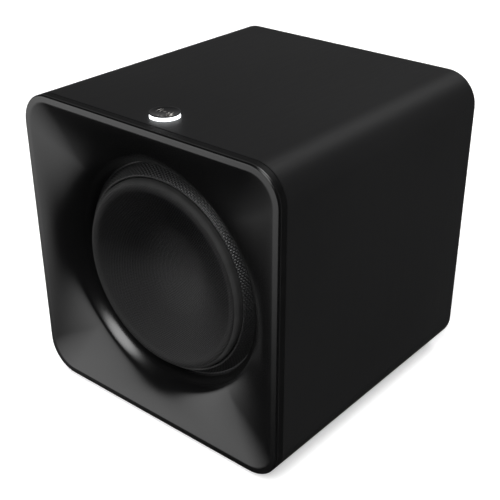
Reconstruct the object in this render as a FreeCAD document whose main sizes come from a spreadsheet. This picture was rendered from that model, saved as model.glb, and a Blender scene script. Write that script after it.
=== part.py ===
import FreeCAD, Part
import math
import os
import re
import Sketcher
from FreeCAD import Rotation, Vector

os.makedirs("parts", exist_ok=True)
doc = FreeCAD.newDocument("Subwoofer")

# Driving dimensions in millimetres, degrees and counts. Depths are measured from the front plane to the rear.
SIZES = {
    # cabinet
    "cab_w": 330, "cab_d": 330, "cab_round": 35, "wall": 15, "foot_h": 6,
    "foot_rad": 14, "foot_inset": 48, "screw_grip": 10, "board_t": 18, "inner_gap": 0.2,
    "brace_depth": 182, "brace_t": 15, "brace_hole": 108,
    "pad_t": 10, "pad_h": 230, "pad_depth": 66, "pad_len": 112,
    # front bezel
    "skirt": 9.6, "parting": 0.8, "parting_bevel": 0.5, "rim_w": 7, "rim_edge": 1.8, "mouth_round": 28,
    "lead_in": 20, "round_depth": 16, "crease_round": 12,
    "throat_rad": 116.4, "throat_depth": 36, "bezel_wall": 3, "seat_depth": 37,
    "plug_gap": 0.3, "plug_wall": 4,
    # driver frame
    "flange_depth": 38, "flange_t": 3, "flange_rad": 127, "basket_rad": 113, "gasket_t": 1,
    "cutout_rad": 117.5, "basket_t": 3,
    "ledge_rad": 66, "ledge_w": 6, "ledge_depth": 96, "motor_depth": 112, "motor_seat": 52,
    "window_in": 74, "window_out": 104, "window_deg": 44,
    "screw_ring": 123.4, "screw_rad": 2, "shank_rad": 1.95, "head_rad": 3.2, "head_h": 2.4, "screw_len": 18,
    # moving parts of the driver
    "dish_depth": 50, "dish_slope": 27, "dish_t": 1.4,
    "lip_rad": 97, "lip_depth": 17.4, "lip_round": 18, "lip_out": 102, "lip_foot": 28,
    "roll_in": 102.8, "roll_out": 113.6, "roll_crest": 24.1, "roll_lead": 1.6, "roll_slope": 36.5,
    "rubber_t": 1.2, "foot_out": 119,
    "cone_edge": 99, "cone_t": 1.6, "neck_rad": 25.45, "neck_depth": 80,
    "former_rad": 25.4, "former_t": 0.4, "former_top": 54, "former_end": 130,
    "wire_rad": 1.1, "lead_rad": 0.9, "lead_len": 46, "coil_t": 1.2, "coil_top": 104, "coil_end": 128,
    "spider_depth": 92, "spider_t": 0.6, "spider_wave": 2.4, "spider_rad": 64, "spider_turns": 7,
    "strip_w": 24, "strip_h": 12, "strip_t": 4, "tag_x": 6,
    # motor
    "gap_rad": 27.2, "plate_rad": 66, "plate_t": 8, "magnet_rad": 70, "magnet_hole": 32, "magnet_t": 22,
    "pole_rad": 24.2, "vent_rad": 8, "yoke_t": 8,
    # amplifier plate
    "rear_recess": 16, "amp_w": 200, "amp_h": 250, "amp_t": 2.5, "amp_round": 6, "amp_cut": 10,
    "amp_screw_in": 5, "chassis_d": 74, "chassis_t": 1.2, "board_gap": 14, "pcb_t": 1.6,
    "pcb_w": 150, "pcb_h": 120, "pcb_y": 40,
    "toroid_rad": 34, "toroid_hole": 9, "toroid_d": 30, "toroid_x": -30, "toroid_y": 20,
    "can_rad": 11, "can_len": 34, "can_x": 22, "can_pitch": 26,
    "chip_w": 16, "chip_h": 20, "chip_t": 4.6, "chip_x": -48, "chip_y": 80, "chip_pitch": 24,
    "radio_w": 34, "radio_h": 22, "radio_t": 3.2, "radio_x": 52, "radio_y": 62,
    "sink_w": 150, "sink_h": 62, "sink_y": 78, "sink_base": 2, "fin_h": 9.5, "fin_t": 1.6, "fin_count": 19,
    "knob_x": 52, "knob_y": 18, "knob_rad": 9, "knob_h": 10.5, "knob_gap": 0.8, "shaft_rad": 3,
    "knob_skirt": 1, "flute_rad": 0.8, "flute_count": 24,
    "pot_side": 17, "pot_d": 9, "jack_x": 52, "jack_y": -34, "jack_pitch": 15, "jack_rad": 4.15, "jack_h": 9,
    "jack_collar": 1.8, "jack_wall": 0.7, "jack_deep": 6, "socket_rad": 1.65, "socket_d": 8,
    "slot_y": 18, "slot_w": 9.8, "slot_h": 4.4,
    "slider_w": 5, "slider_h": 3.6, "slider_out": 2.6, "slide_run": 4,
    "power_x": -52, "power_y": -90, "rocker_w": 12.4, "rocker_half": 8, "rocker_tilt": 8,
    "inlet_x": 40, "inlet_y": -90, "inlet_w": 24.4, "inlet_h": 16.6, "inlet_d": 16, "inlet_flange": 50,
    "inlet_wall": 1.5, "inlet_cut": 5, "pin_w": 2, "pin_h": 4, "pin_x": 7, "pin_y": 2,
    "led_rad": 1.6, "led_x": 26, "led_y": 36,
    # top button
    "button_back": 36, "button_rad": 14.6, "button_hole": 15, "light_t": 3, "button_deep": 5,
    "cap_rad": 15, "cap_t": 1, "cap_edge": 0.4, "cap_lift": 3.2, "stem_rad": 3, "button_gap": 1.1,
    "plug_t": 3, "tact_h": 4,
}

sheet = doc.addObject("Spreadsheet::Sheet", "Sizes")
for row, (alias, size) in enumerate(SIZES.items(), start=1):
    sheet.set(f"A{row}", alias)
    sheet.set(f"B{row}", str(size))
    sheet.setAlias(f"B{row}", alias)
doc.recompute()

ALIAS = re.compile(r"\b(" + "|".join(SIZES) + r")\b")
nodes = []


def sized(expression):
    """The expression with each size's name pointing at its cell in the sheet."""
    return ALIAS.sub(r"Sizes.\1", str(expression))


def value(expression):
    """The expression's present value in millimetres."""
    return float(sheet.evalExpression(sized(expression)))


def bind(thing, prop, expression):
    thing.setExpression(prop, sized(expression))


# ---- frames -----------------------------------------------------------------------------------------------
# In the front and rear frames local z runs backwards through the cabinet and local y runs up, so local x is
# the viewer's right from behind. The top frame keeps the cabinet's own directions.
BACKWARDS = Rotation(180, 0, 90)
UPRIGHT = Rotation()
FRONT = ("0", "-cab_d / 2", "foot_h + cab_w / 2", BACKWARDS)
REAR = ("0", "cab_d / 2 - rear_recess + amp_t", "foot_h + cab_w / 2", BACKWARDS)
TOP = ("0", "button_back - cab_d / 2", "foot_h + cab_w", UPRIGHT)
FLOOR = ("0", "0", "0", UPRIGHT)


def locate(thing, frame):
    thing.Placement = FreeCAD.Placement(Vector(), frame[3])
    for axis, expression in zip("xyz", frame):
        bind(thing, f"Placement.Base.{axis}", expression)


def keep(thing, frame):
    """Makes a finished thing a node of its own, standing in its frame."""
    locate(thing, frame)
    nodes.append(thing)
    return thing


# ---- sketches and features --------------------------------------------------------------------------------
def new_body(label, frame):
    body = doc.addObject("PartDesign::Body", label)
    body.Label = label
    return keep(body, frame)


def new_sketch(body, plane, lift="0"):
    sketch = body.newObject("Sketcher::SketchObject", body.Label + "_sketch")
    origin = [feature for feature in body.Origin.OriginFeatures if feature.Role == plane]
    sketch.AttachmentSupport = [(origin[0], "")]
    sketch.MapMode = "FlatFace"
    bind(sketch, "AttachmentOffset.Base.z", lift)
    return sketch


def arc_between(start, end, radius, turn):
    """The short arc from start to end; turn is 1 anticlockwise and -1 clockwise."""
    along = end - start
    aside = Vector(-along.y, along.x, 0).normalize() * turn
    rise = math.sqrt(max(radius ** 2 - (along.Length / 2) ** 2, 0))
    centre = (start + end) / 2 + aside * rise
    first, last = (start, end) if turn > 0 else (end, start)
    angles = [math.atan2(point.y - centre.y, point.x - centre.x) for point in (first, last)]
    return Part.ArcOfCircle(Part.Circle(centre, Vector(0, 0, 1), radius), angles[0], angles[1])


def outline(sketch, corners):
    """A closed outline. A corner is (x, y), or (x, y, radius, turn) where an arc leads to the next one."""
    points = [Vector(value(corner[0]), value(corner[1]), 0) for corner in corners]
    first = sketch.GeometryCount
    ends = []
    for index, corner in enumerate(corners):
        start = points[index]
        end = points[(index + 1) % len(points)]
        if len(corner) == 2:
            sketch.addGeometry(Part.LineSegment(start, end))
            ends.append((1, 2))
        else:
            sketch.addGeometry(arc_between(start, end, value(corner[2]), corner[3]))
            ends.append((1, 2) if corner[3] > 0 else (2, 1))
    for index, corner in enumerate(corners):
        after = (index + 1) % len(corners)
        here = first + index
        sketch.addConstraint(
            Sketcher.Constraint("Coincident", here, ends[index][1], first + after, ends[after][0]))
        for kind, number, expression in (("DistanceX", points[index].x, corner[0]),
                                         ("DistanceY", points[index].y, corner[1])):
            row = sketch.addConstraint(Sketcher.Constraint(kind, here, ends[index][0], number))
            bind(sketch, f"Constraints[{row}]", expression)
        if len(corner) > 2:
            row = sketch.addConstraint(Sketcher.Constraint("Radius", here, value(corner[2])))
            bind(sketch, f"Constraints[{row}]", corner[2])


def rectangle(sketch, width, height, x="0", y="0"):
    left, right = f"{x} - ({width}) / 2", f"{x} + ({width}) / 2"
    low, high = f"{y} - ({height}) / 2", f"{y} + ({height}) / 2"
    outline(sketch, [(left, low), (right, low), (right, high), (left, high)])


def rounded(sketch, half_x, half_y, radius):
    """A rectangle about the sketch's origin with its four corners rounded."""
    in_x, in_y = f"{half_x} - ({radius})", f"{half_y} - ({radius})"
    outline(sketch, [
        (f"-({in_x})", f"-({half_y})"), (in_x, f"-({half_y})", radius, 1),
        (half_x, f"-({in_y})"), (half_x, in_y, radius, 1),
        (in_x, half_y), (f"-({in_x})", half_y, radius, 1),
        (f"-({half_x})", in_y), (f"-({half_x})", f"-({in_y})", radius, 1),
    ])


def circle(sketch, radius, x="0", y="0"):
    number = sketch.addGeometry(Part.Circle(Vector(value(x), value(y), 0), Vector(0, 0, 1), value(radius)))
    for kind, expression in (("DistanceX", x), ("DistanceY", y)):
        row = sketch.addConstraint(Sketcher.Constraint(kind, number, 3, value(expression)))
        bind(sketch, f"Constraints[{row}]", expression)
    row = sketch.addConstraint(Sketcher.Constraint("Radius", number, value(radius)))
    bind(sketch, f"Constraints[{row}]", radius)


def feature(body, kind, sketch):
    made = body.newObject("PartDesign::" + kind, body.Label + "_" + kind)
    made.Profile = sketch
    return made


def pad(body, sketch, length):
    """Adds the sketch from its plane towards local +z."""
    made = feature(body, "Pad", sketch)
    bind(made, "Length", length)
    return made


def pocket(body, sketch, length):
    """Cuts the sketch from its plane towards local +z."""
    made = feature(body, "Pocket", sketch)
    made.Reversed = True
    bind(made, "Length", length)
    return made


def revolve(body, corners, kind="Revolution"):
    """Turns an outline of (radius, z) corners about local z."""
    sketch = new_sketch(body, "XZ_Plane")
    outline(sketch, corners)
    made = feature(body, kind, sketch)
    made.ReferenceAxis = (sketch, ["V_Axis"])
    made.Angle = 360
    return made


def polar(body, originals, count, sketch):
    """Repeats features evenly round the normal of a sketch."""
    made = body.newObject("PartDesign::PolarPattern", body.Label + "_pattern")
    made.Originals = originals
    made.Axis = (sketch, ["N_Axis"])
    made.Angle = 360
    made.Occurrences = count
    body.Tip = made
    return made


def edge_treatment(body, kind, base, size, wanted):
    """A fillet or chamfer on the base's edges that the test accepts."""
    doc.recompute()
    names = [f"Edge{i}" for i, edge in enumerate(base.Shape.Edges, start=1) if wanted(edge)]
    made = body.newObject("PartDesign::" + kind, body.Label + "_" + kind)
    made.Base = (base, names)
    bind(made, "Radius" if kind == "Fillet" else "Size", size)
    return made


def level(z_expression):
    """A test for edges that lie in one plane across local z."""
    height = value(z_expression)
    return lambda edge: max(abs(vertex.Point.z - height) for vertex in edge.Vertexes) < 1e-4


# ---- plain pieces -----------------------------------------------------------------------------------------
def at(thing, spot):
    for axis, expression in zip("xyz", spot):
        bind(thing, f"Placement.Base.{axis}", expression)
    return thing


def block(label, size, centre):
    """A box with its middle at the given x and y and its lower face at z."""
    thing = doc.addObject("Part::Box", label)
    for prop, expression in zip(("Length", "Width", "Height"), size):
        bind(thing, prop, expression)
    x, y, z = centre
    return at(thing, (f"{x} - ({size[0]}) / 2", f"{y} - ({size[1]}) / 2", z))


def rod(label, radius, height, foot):
    thing = doc.addObject("Part::Cylinder", label)
    bind(thing, "Radius", radius)
    bind(thing, "Height", height)
    return at(thing, foot)


def less(label, base, tool):
    thing = doc.addObject("Part::Cut", label)
    thing.Base = base
    thing.Tool = tool
    return thing


def fused(label, pieces):
    thing = doc.addObject("Part::MultiFuse", label)
    thing.Shapes = pieces
    return thing


def group(label, pieces):
    """Several separate solids kept together as one thing."""
    thing = doc.addObject("Part::Compound", label)
    thing.Links = pieces
    return thing


# ---- cabinet ----------------------------------------------------------------------------------------------
def cabinet_shell():
    """A square sleeve with four rounded long edges, open at both ends, with a hole for the top button."""
    body = new_body("cabinet_shell", FRONT)
    front = "skirt + parting"
    outer = new_sketch(body, "XY_Plane", front)
    rounded(outer, "cab_w / 2", "cab_w / 2", "cab_round")
    sleeve = pad(body, outer, f"cab_d - ({front})")
    edge_treatment(body, "Chamfer", sleeve, "parting_bevel", level(front))
    inner = new_sketch(body, "XY_Plane", front)
    rounded(inner, "cab_w / 2 - wall", "cab_w / 2 - wall", "cab_round - wall")
    pocket(body, inner, "cab_d")
    hole = new_sketch(body, "XZ_Plane", "-cab_w / 2")
    circle(hole, "button_hole", "0", "button_back")
    pocket(body, hole, "wall + 1")
    screws = new_sketch(body, "XZ_Plane", "cab_w / 2 - screw_grip")
    for x, y in four_corners():
        circle(screws, "screw_rad", x, f"({y}) + cab_d / 2")
    pocket(body, screws, "screw_grip + 1")


FLARE_STEPS = 8
NEARLY_ROUND = 0.99


def bowed_square(sketch, half, corner, roundness):
    """A rounded square whose sides bow out, from straight at roundness 0 towards one circle at 1.

    Each side is an arc about a centre on its own normal, and each corner an arc tangent to both sides.
    """
    if roundness == 0:
        touch_x, touch_y = half - corner, half
        bow = []
    else:
        knee = half * (1 + (1 - roundness) * (math.sqrt(2) - 1)) / math.sqrt(2)
        radius = (2 * knee ** 2 - 2 * knee * half + half ** 2) / (2 * (half - knee))
        rest = half - radius
        middle = (rest + math.sqrt(2 * (radius - corner) ** 2 - rest ** 2)) / 2
        reach = radius / (radius - corner)
        touch_x, touch_y = middle * reach, rest + (middle - rest) * reach
        bow = [radius, 1]
    turn = [corner, 1]
    outline(sketch, [
        (-touch_x, -touch_y, *bow), (touch_x, -touch_y, *turn),
        (touch_y, -touch_x, *bow), (touch_y, touch_x, *turn),
        (touch_x, touch_y, *bow), (-touch_x, touch_y, *turn),
        (-touch_y, touch_x, *bow), (-touch_y, -touch_x, *turn),
    ])


def flare(body, kind, grow, end_depth):
    """The horn from the rim's rounded square to the round throat, a quarter of an ellipse along each side.

    A soft crease runs in from each corner of the rim and fades out where the sections have become round.
    """
    lead_in = math.radians(value("lead_in"))
    mouth, throat = value(f"cab_w / 2 - rim_w + {grow}"), value(f"throat_rad + {grow}")
    mouth_corner, crease_corner = value(f"mouth_round + {grow}"), value("crease_round")
    sketches = []
    for step in range(FLARE_STEPS + 1):
        turn = lead_in + (math.pi / 2 - lead_in) * step / FLARE_STEPS
        inward = (math.sin(turn) - math.sin(lead_in)) / (1 - math.sin(lead_in))
        depth = value(end_depth) * (1 - math.cos(turn) / math.cos(lead_in))
        share = min(depth / value("round_depth"), 1)
        roundness = min(share * share * (3 - 2 * share), NEARLY_ROUND)
        sketch = new_sketch(body, "XY_Plane", f"{depth:.5f}")
        bowed_square(sketch, mouth + (throat - mouth) * inward,
                     mouth_corner + (crease_corner - mouth_corner) * roundness, roundness)
        sketches.append(sketch)
    made = feature(body, kind, sketches[0])
    made.Sections = sketches[1:]
    return made


def front_bezel():
    """Moulded ring: flat rim, outer skirt, plug that enters the sleeve and the flared horn."""
    body = new_body("front_bezel", FRONT)
    face = new_sketch(body, "XY_Plane")
    rounded(face, "cab_w / 2", "cab_w / 2", "cab_round")
    slab = pad(body, face, "skirt")
    edge_treatment(body, "Fillet", slab, "rim_edge", level("0"))
    plug = new_sketch(body, "XY_Plane", "skirt")
    for inset in ("(wall + plug_gap)", "(wall + plug_gap + plug_wall)"):
        rounded(plug, f"(cab_w / 2 - {inset})", f"(cab_w / 2 - {inset})", f"(cab_round - {inset})")
    pad(body, plug, "flange_depth + flange_t + gasket_t - skirt")
    flare(body, "AdditiveLoft", "bezel_wall", "seat_depth")
    flare(body, "SubtractiveLoft", "0", "throat_depth")
    throat = new_sketch(body, "XY_Plane", "throat_depth - 0.5")
    circle(throat, "throat_rad")
    pocket(body, throat, "seat_depth - throat_depth + 1")
    return body


def inner_board(label, depth, thickness):
    """A board that fills the sleeve from wall to wall at a given depth."""
    body = new_body(label, FRONT)
    sketch = new_sketch(body, "XY_Plane", depth)
    half = "cab_w / 2 - wall"
    rounded(sketch, f"({half})", f"({half})", "(cab_round - wall + inner_gap)")
    pad(body, sketch, thickness)
    return body


BAFFLE_FACE = "flange_depth + flange_t + gasket_t"
BACK_FACE = "cab_d - rear_recess"
DRIVER_SCREWS = 8


def drill_screw_circle(body, depth, thickness):
    """Drills the holes for the driver's screws through a part, at a given depth."""
    drill = new_sketch(body, "XY_Plane", depth)
    circle(drill, "screw_rad", "screw_ring")
    polar(body, [pocket(body, drill, thickness)], DRIVER_SCREWS, drill)


def baffle_board():
    body = inner_board("baffle_board", BAFFLE_FACE, "board_t")
    hole = new_sketch(body, "XY_Plane", BAFFLE_FACE)
    circle(hole, "cutout_rad")
    pocket(body, hole, "board_t")
    drill_screw_circle(body, BAFFLE_FACE, "board_t")


def window_brace():
    body = inner_board("window_brace", "brace_depth", "brace_t")
    hole = new_sketch(body, "XY_Plane", "brace_depth")
    circle(hole, "brace_hole")
    pocket(body, hole, "brace_t")


def back_panel():
    """Rear board, set in from the sleeve's end, with the amplifier's opening."""
    body = inner_board("back_panel", f"{BACK_FACE} - board_t", "board_t")
    opening = new_sketch(body, "XY_Plane", f"{BACK_FACE} - board_t")
    rounded(opening, "(amp_w / 2 - amp_cut)", "(amp_h / 2 - amp_cut)", "amp_round")
    pocket(body, opening, "board_t")
    drill = new_sketch(body, "XY_Plane", f"{BACK_FACE} - screw_grip")
    for x, y in plate_screw_places():
        circle(drill, "screw_rad", x, y)
    pocket(body, drill, "screw_grip")


def damping_pads():
    """Fibre pads on both side walls and under the top."""
    out = "cab_w / 2 - wall - pad_t / 2 - inner_gap"
    sides = [block("pad_side", ("pad_t", "pad_h", "pad_len"), (f"{sign}({out})", "0", "pad_depth"))
             for sign in ("", "-")]
    under_top = block("pad_top", ("pad_h / 2", "pad_t", "pad_len - 30"), ("0", f"({out})", "pad_depth + 30"))
    keep(group("damping_pads", sides + [under_top]), FRONT)


def four_corners():
    """The feet's x and y places about the middle of the cabinet."""
    inset = "(cab_w / 2 - foot_inset)"
    return [(f"{across}{inset}", f"{along}{inset}") for across in ("", "-") for along in ("", "-")]


def feet():
    """Round feet with a recess for the screw that holds each one."""
    discs, screws = [], []
    for x, y in four_corners():
        disc = rod("foot_disc", "foot_rad", "foot_h", (x, y, "0"))
        recess = rod("foot_recess", "head_rad + 1", "foot_h / 2", (x, y, "0"))
        bore = rod("foot_bore", "screw_rad", "foot_h", (x, y, "0"))
        discs.append(less("foot", disc, fused("foot_holes", [recess, bore])))
        head = rod("foot_screw_head", "head_rad", "foot_h / 2 - 1", (x, y, "1"))
        shank = rod("foot_screw_shank", "shank_rad", "foot_h / 2 + screw_grip", (x, y, "foot_h / 2"))
        screws.append(fused("foot_screw", [head, shank]))
    keep(group("feet", discs), FLOOR)
    keep(group("foot_screws", screws), FLOOR)


# ---- driver: fixed parts ----------------------------------------------------------------------------------
def driver_basket():
    """Cast frame: flange, conical wall with six windows, spider ledge and motor seat."""
    body = new_body("driver_basket", FRONT)
    revolve(body, [
        ("basket_rad", "flange_depth"), ("flange_rad", "flange_depth"),
        ("flange_rad", "flange_depth + flange_t"), ("basket_rad + basket_t", "flange_depth + flange_t"),
        ("basket_rad + basket_t", "flange_depth + 8"), ("ledge_rad + basket_t", "ledge_depth"),
        ("ledge_rad + basket_t", "motor_depth"), ("motor_seat", "motor_depth"),
        ("motor_seat", "motor_depth - basket_t"), ("ledge_rad", "motor_depth - basket_t"),
        ("ledge_rad", "ledge_depth"), ("ledge_rad - ledge_w", "ledge_depth"),
        ("ledge_rad - ledge_w", "ledge_depth - basket_t"), ("ledge_rad", "ledge_depth - basket_t"),
        ("basket_rad", "flange_depth + 6"),
    ])
    window = new_sketch(body, "XY_Plane", "flange_depth + flange_t")
    near, far = "window_in * tan(window_deg / 2)", "window_out * tan(window_deg / 2)"
    outline(window, [("window_in", f"-{near}"), ("window_out", f"-{far}"), ("window_out", far),
                     ("window_in", near)])
    polar(body, [pocket(body, window, "ledge_depth - flange_depth - flange_t")], 6, window)
    drill_screw_circle(body, "flange_depth", "flange_t")


def gasket_ring():
    body = new_body("gasket_ring", FRONT)
    sketch = new_sketch(body, "XY_Plane", "flange_depth + flange_t")
    circle(sketch, "flange_rad")
    circle(sketch, "cutout_rad")
    pad(body, sketch, "gasket_t")
    drill_screw_circle(body, "flange_depth + flange_t", "gasket_t")


def driver_screws():
    screws = []
    for number in range(DRIVER_SCREWS):
        turn = f"{number * 360 / DRIVER_SCREWS} deg"
        x, y = f"screw_ring * cos({turn})", f"screw_ring * sin({turn})"
        head = rod("driver_screw_head", "head_rad", "head_h", (x, y, "flange_depth - head_h"))
        shank = rod("driver_screw_shank", "shank_rad", "screw_len", (x, y, "flange_depth"))
        screws.append(fused("driver_screw", [head, shank]))
    keep(group("driver_screws", screws), FRONT)


def ring(label, inner, outer, depth, thickness, frame=FRONT):
    """A plain ring about the frame's z axis."""
    body = new_body(label, frame)
    sketch = new_sketch(body, "XY_Plane", depth)
    circle(sketch, outer)
    circle(sketch, inner)
    pad(body, sketch, thickness)


def motor():
    """Top plate, ring magnet and the yoke whose pole stands inside the voice coil."""
    ring("top_plate", "gap_rad", "plate_rad", "motor_depth", "plate_t")
    ring("magnet", "magnet_hole", "magnet_rad", "motor_depth + plate_t", "magnet_t")
    back = "motor_depth + plate_t + magnet_t"
    body = new_body("yoke", FRONT)
    revolve(body, [
        ("vent_rad", "motor_depth"), ("pole_rad", "motor_depth"), ("pole_rad", back), ("plate_rad", back),
        ("plate_rad", f"{back} + yoke_t"), ("vent_rad", f"{back} + yoke_t"),
    ])


def wiring():
    """Terminal strip on the basket and the pair of wires from it back to the amplifier."""
    strip = block("strip", ("strip_w", "strip_t", "strip_h"),
                  ("0", "-(ledge_rad + basket_t + strip_t / 2)", "ledge_depth + 1"))
    keep(group("terminal_strip", [strip]), FRONT)
    low = "-(ledge_rad + basket_t + strip_t + wire_rad)"
    run = f"{BACK_FACE} - chassis_d - ledge_depth - 3"
    wires = [rod("wire", "wire_rad", run, (x, low, "ledge_depth + 3")) for x in ("-tag_x", "tag_x")]
    keep(group("speaker_wires", wires), FRONT)


# ---- driver: moving parts ---------------------------------------------------------------------------------
def dish():
    """Woven dish: a bowl, straight sides and a rounded lip whose outer edge turns down to the surround."""
    body = new_body("dish", FRONT)
    slope = "dish_slope * 1 deg"
    lip_side = f"lip_round * sin({slope})"
    lip_drop = f"lip_round * (1 - cos({slope}))"
    rise = f"dish_depth - lip_depth - {lip_drop}"
    bowl = f"(((lip_rad - {lip_side}) * tan({slope}) - ({rise})) / (1 / cos({slope}) - 1))"
    bowl_side = f"{bowl} * sin({slope})"
    bowl_drop = f"{bowl} * (1 - cos({slope}))"
    back = f"({bowl} + dish_t)"
    inner = "(lip_round - dish_t)"
    turned = "(lip_out - lip_rad)"
    revolve(body, [
        ("0", "dish_depth", bowl, -1),
        (bowl_side, f"dish_depth - {bowl_drop}"),
        (f"lip_rad - {lip_side}", f"lip_depth + {lip_drop}", "lip_round", 1),
        ("lip_rad", "lip_depth", turned, 1),
        ("lip_out", f"lip_depth + {turned}"),
        ("lip_out", "lip_foot"),
        ("lip_out - dish_t", "lip_foot"),
        ("lip_out - dish_t", f"lip_depth + {turned}", f"({turned} - dish_t)", -1),
        ("lip_rad", "lip_depth + dish_t", inner, -1),
        (f"lip_rad - {inner} * sin({slope})", f"lip_depth + dish_t + {inner} * (1 - cos({slope}))"),
        (f"{back} * sin({slope})", f"dish_depth + dish_t - {back} * (1 - cos({slope}))", back, 1),
        ("0", "dish_depth + dish_t"),
    ])


def surround():
    """Rubber band from the dish's edge, over a small crest and down a slope to the basket's flange."""
    body = new_body("surround", FRONT)
    slope = "roll_slope * 1 deg"
    middle_x, middle_y = "(roll_in + roll_lead)", "(roll_crest + roll_lead)"
    top_x, top_y = f"({middle_x} + roll_lead * cos({slope}))", f"({middle_y} - roll_lead * sin({slope}))"
    inner = "(roll_lead - rubber_t)"
    under_x, under_y = f"({middle_x} + {inner} * cos({slope}))", f"({middle_y} - {inner} * sin({slope}))"
    revolve(body, [
        ("lip_out - 6", "lip_foot"),
        ("roll_in", "lip_foot"),
        ("roll_in", middle_y, "roll_lead", 1),
        (middle_x, "roll_crest", "roll_lead", 1),
        (top_x, top_y),
        ("roll_out", f"{top_y} + (roll_out - {top_x}) / tan({slope})"),
        ("roll_out + 1.8", "seat_depth"),
        ("foot_out", "seat_depth"),
        ("foot_out", "flange_depth"),
        (f"{under_x} + (flange_depth - {under_y}) * tan({slope})", "flange_depth"),
        (under_x, under_y, inner, -1),
        (middle_x, "roll_crest + rubber_t", inner, -1),
        ("roll_in + rubber_t", middle_y),
        ("roll_in + rubber_t", "lip_foot + rubber_t"),
        ("lip_out - 6", "lip_foot + rubber_t"),
    ])


def cone():
    """Paper cone behind the dish, from the voice coil's former to the surround's inner edge."""
    body = new_body("cone", FRONT)
    under = "lip_foot + rubber_t"
    revolve(body, [
        ("cone_edge - 5", under), ("cone_edge", under), ("cone_edge", f"{under} + cone_t"),
        ("cone_edge - 4", f"{under} + cone_t"), ("neck_rad + cone_t", "neck_depth"),
        ("neck_rad + cone_t", "neck_depth + 4"), ("neck_rad", "neck_depth + 4"),
        ("neck_rad", "neck_depth - 1"),
    ])


def voice_coil():
    """Former tube and the winding round it."""
    ring("coil_former", "former_rad - former_t", "former_rad", "former_top", "former_end - former_top")
    ring("voice_coil", "former_rad", "former_rad + coil_t", "coil_top", "coil_end - coil_top")


def spider():
    """Corrugated cloth disc that centres the former; its flat rim rests on the ledge."""
    body = new_body("spider", FRONT)
    turns = int(value("spider_turns"))
    first, last = "neck_rad + 3", "ledge_rad - ledge_w - 2"
    front = [("neck_rad", "spider_depth")]
    for number in range(turns + 1):
        wave = "spider_wave / 2" if number % 2 else "-spider_wave / 2"
        front.append((f"{first} + ({last} - ({first})) * {number} / {turns}", f"spider_depth + {wave}"))
    rest = "ledge_depth - basket_t - spider_t"
    front += [("ledge_rad - ledge_w", rest), ("spider_rad", rest)]
    back = [(radius, f"{depth} + spider_t") for radius, depth in reversed(front)]
    revolve(body, front + back)


def tinsel_leads():
    """Two braided leads that run from the cone's neck out to the basket's wall."""
    inner = "neck_rad + cone_t"
    leads = [rod("lead", "lead_rad", "lead_len", (x, f"-({inner})", "neck_depth + 2"))
             for x in ("-tag_x", "tag_x")]
    for lead in leads:
        lead.Placement.Rotation = Rotation(Vector(1, 0, 0), 90)
    keep(group("tinsel_leads", leads), FRONT)


# ---- amplifier --------------------------------------------------------------------------------------------
def amp_plate():
    """Rear plate with an opening for each control and socket."""
    body = new_body("amp_plate", REAR)
    sketch = new_sketch(body, "XY_Plane", "-amp_t")
    rounded(sketch, "(amp_w / 2)", "(amp_h / 2)", "amp_round")
    pad(body, sketch, "amp_t")
    cuts = new_sketch(body, "XY_Plane", "-amp_t")
    for side in ("-", ""):
        circle(cuts, "shaft_rad + 0.4", f"{side}knob_x", "knob_y")
        circle(cuts, "jack_rad + 0.1", f"-jack_x {side or '+'} jack_pitch / 2", "jack_y")
    rectangle(cuts, "slot_w + 0.4", "slot_h", "0", "slot_y")
    rectangle(cuts, "rocker_w + 2", "rocker_half * 2 + 2", "power_x", "power_y")
    rectangle(cuts, "inlet_w + 2 * inlet_wall", "inlet_h + 2 * inlet_wall", "inlet_x", "inlet_y")
    circle(cuts, "led_rad", "led_x", "led_y")
    for x, y in plate_screw_places():
        circle(cuts, "screw_rad", x, y)
    pocket(body, cuts, "amp_t")


def plate_screw_places():
    """Five screws down each long side of the plate."""
    x = "(amp_w / 2 - amp_screw_in)"
    rows = [f"(amp_h / 2 - amp_screw_in - 2) * {share}" for share in (-1, -0.5, 0, 0.5, 1)]
    return [(f"{side}{x}", y) for side in ("-", "") for y in rows]


def amp_screws():
    screws = []
    for x, y in plate_screw_places():
        head = rod("plate_screw_head", "head_rad", "head_h", (x, y, "0"))
        cross = block("plate_screw_slot", ("head_rad * 1.3", "0.8", "1"), (x, y, "head_h - 0.8"))
        other = block("plate_screw_slot", ("0.8", "head_rad * 1.3", "1"), (x, y, "head_h - 0.8"))
        shank = rod("plate_screw_shank", "shank_rad", "amp_t + screw_grip", (x, y, "-amp_t - screw_grip"))
        driven = less("plate_screw_head_cut", head, fused("plate_screw_cross", [cross, other]))
        screws.append(fused("plate_screw", [driven, shank]))
    keep(group("amp_screws", screws), REAR)


def amp_chassis():
    """Steel tray over the electronics inside the cabinet."""
    width, height = "(amp_w - 2 * amp_cut - 4)", "(amp_h - 2 * amp_cut - 4)"
    outer = block("tray_outer", (width, height, "chassis_d"), ("0", "0", "-amp_t - chassis_d"))
    inner = block("tray_inner", (f"{width} - 2 * chassis_t", f"{height} - 2 * chassis_t", "chassis_d"),
                  ("0", "0", "-amp_t - chassis_d + chassis_t"))
    keep(less("amp_chassis", outer, inner), REAR)


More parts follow.
